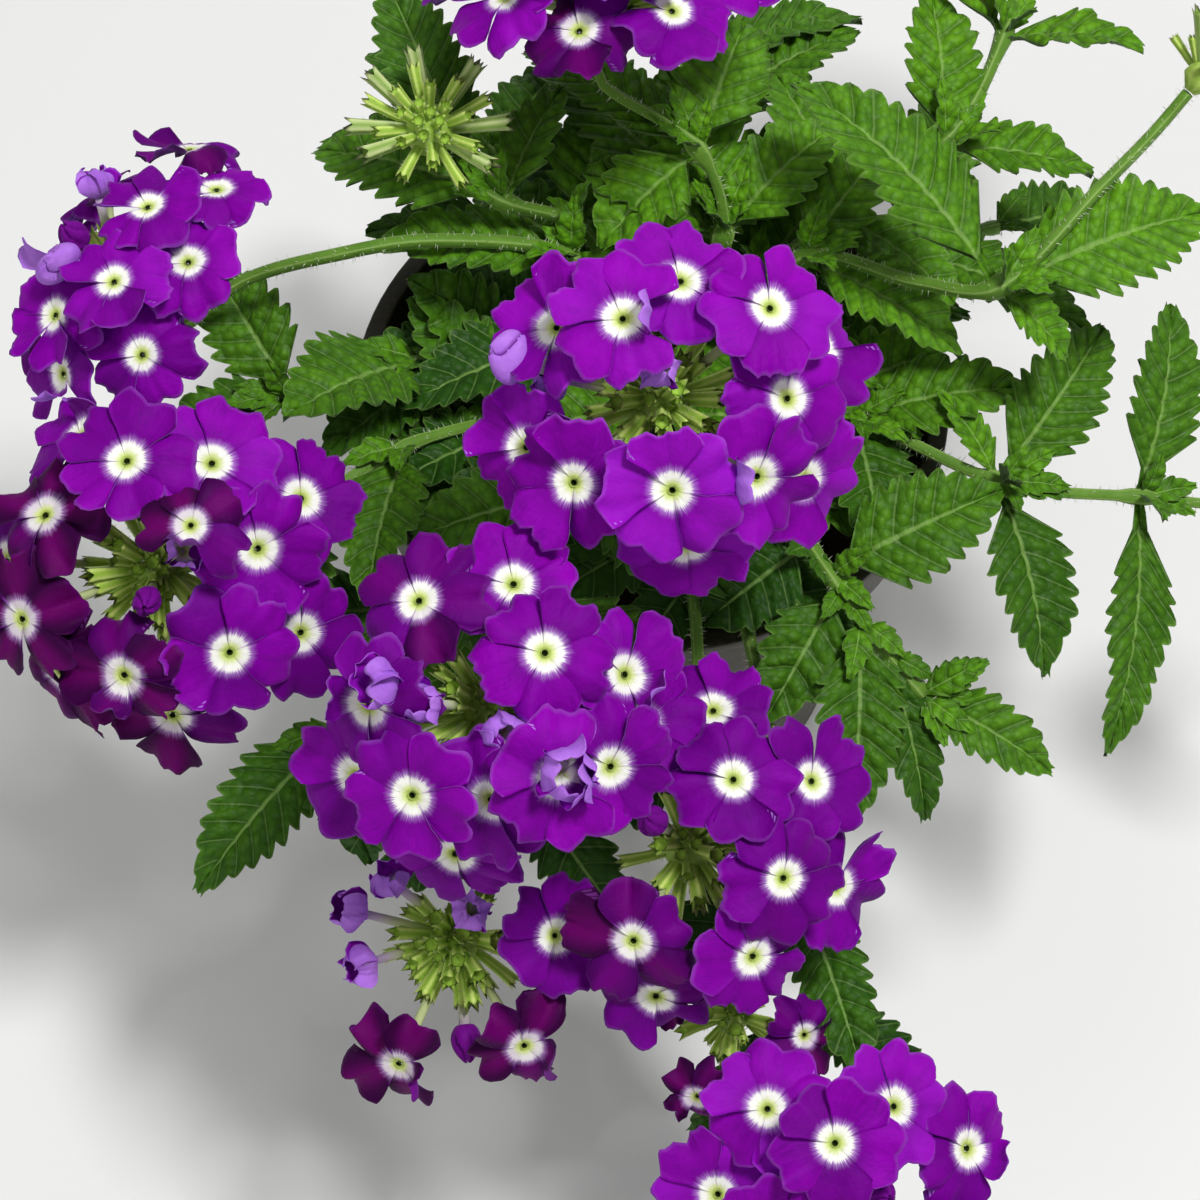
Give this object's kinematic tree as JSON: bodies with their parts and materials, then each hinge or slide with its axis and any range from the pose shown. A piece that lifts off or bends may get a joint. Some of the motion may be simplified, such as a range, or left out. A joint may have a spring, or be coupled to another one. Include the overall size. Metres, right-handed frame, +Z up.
{
  "type": "potted verbena",
  "caption": "Trailing verbena in a round nursery pot: toothed leaf pairs on arching stems, each tipped by a domed head of notched five-petalled florets.",
  "frame": {"origin": "middle of the underside of the pot, on the surface it stands on", "axes": "+Z up along the pot's axis, -Y the side that the picture is taken from, where the plant trails, +X to the picture's right"},
  "size_m": [0.2363, 0.2752, 0.1796],
  "materials": {
    "pot_plastic": "matt dark grey-brown moulded plastic",
    "peat": "moist crumbly peat with a few pale grains",
    "leaf_green": "matt hairy leaf green with paler veins",
    "petal_violet": "soft violet petals with a white eye",
    "calyx_green": "matt pale green ribbed calyces"
  },
  "bodies": {
    "root": {"head_back": "petal_violet", "head_back_right": "petal_violet", "head_crown": "petal_violet", "head_fading": "petal_violet", "head_front": "petal_violet", "head_front_low": "petal_violet", "head_green": "calyx_green", "head_left": "petal_violet", "head_left_high": "petal_violet", "head_trailing": "petal_violet", "head_trailing_small": "petal_violet", "head_unopened": "calyx_green", "peat": "peat", "pot": "pot_plastic", "shoot_back": "leaf_green", "shoot_back_low": "leaf_green", "shoot_back_right": "leaf_green", "shoot_crown": "leaf_green", "shoot_fading": "leaf_green", "shoot_front": "leaf_green", "shoot_front_low": "leaf_green", "shoot_green": "leaf_green", "shoot_left": "leaf_green", "shoot_left_back": "leaf_green", "shoot_left_high": "leaf_green", "shoot_left_low": "leaf_green", "shoot_left_low_back": "leaf_green", "shoot_right": "leaf_green", "shoot_right_front": "leaf_green", "shoot_right_high": "leaf_green", "shoot_right_low": "leaf_green", "shoot_trailing": "leaf_green"}
  },
  "joints": []
}
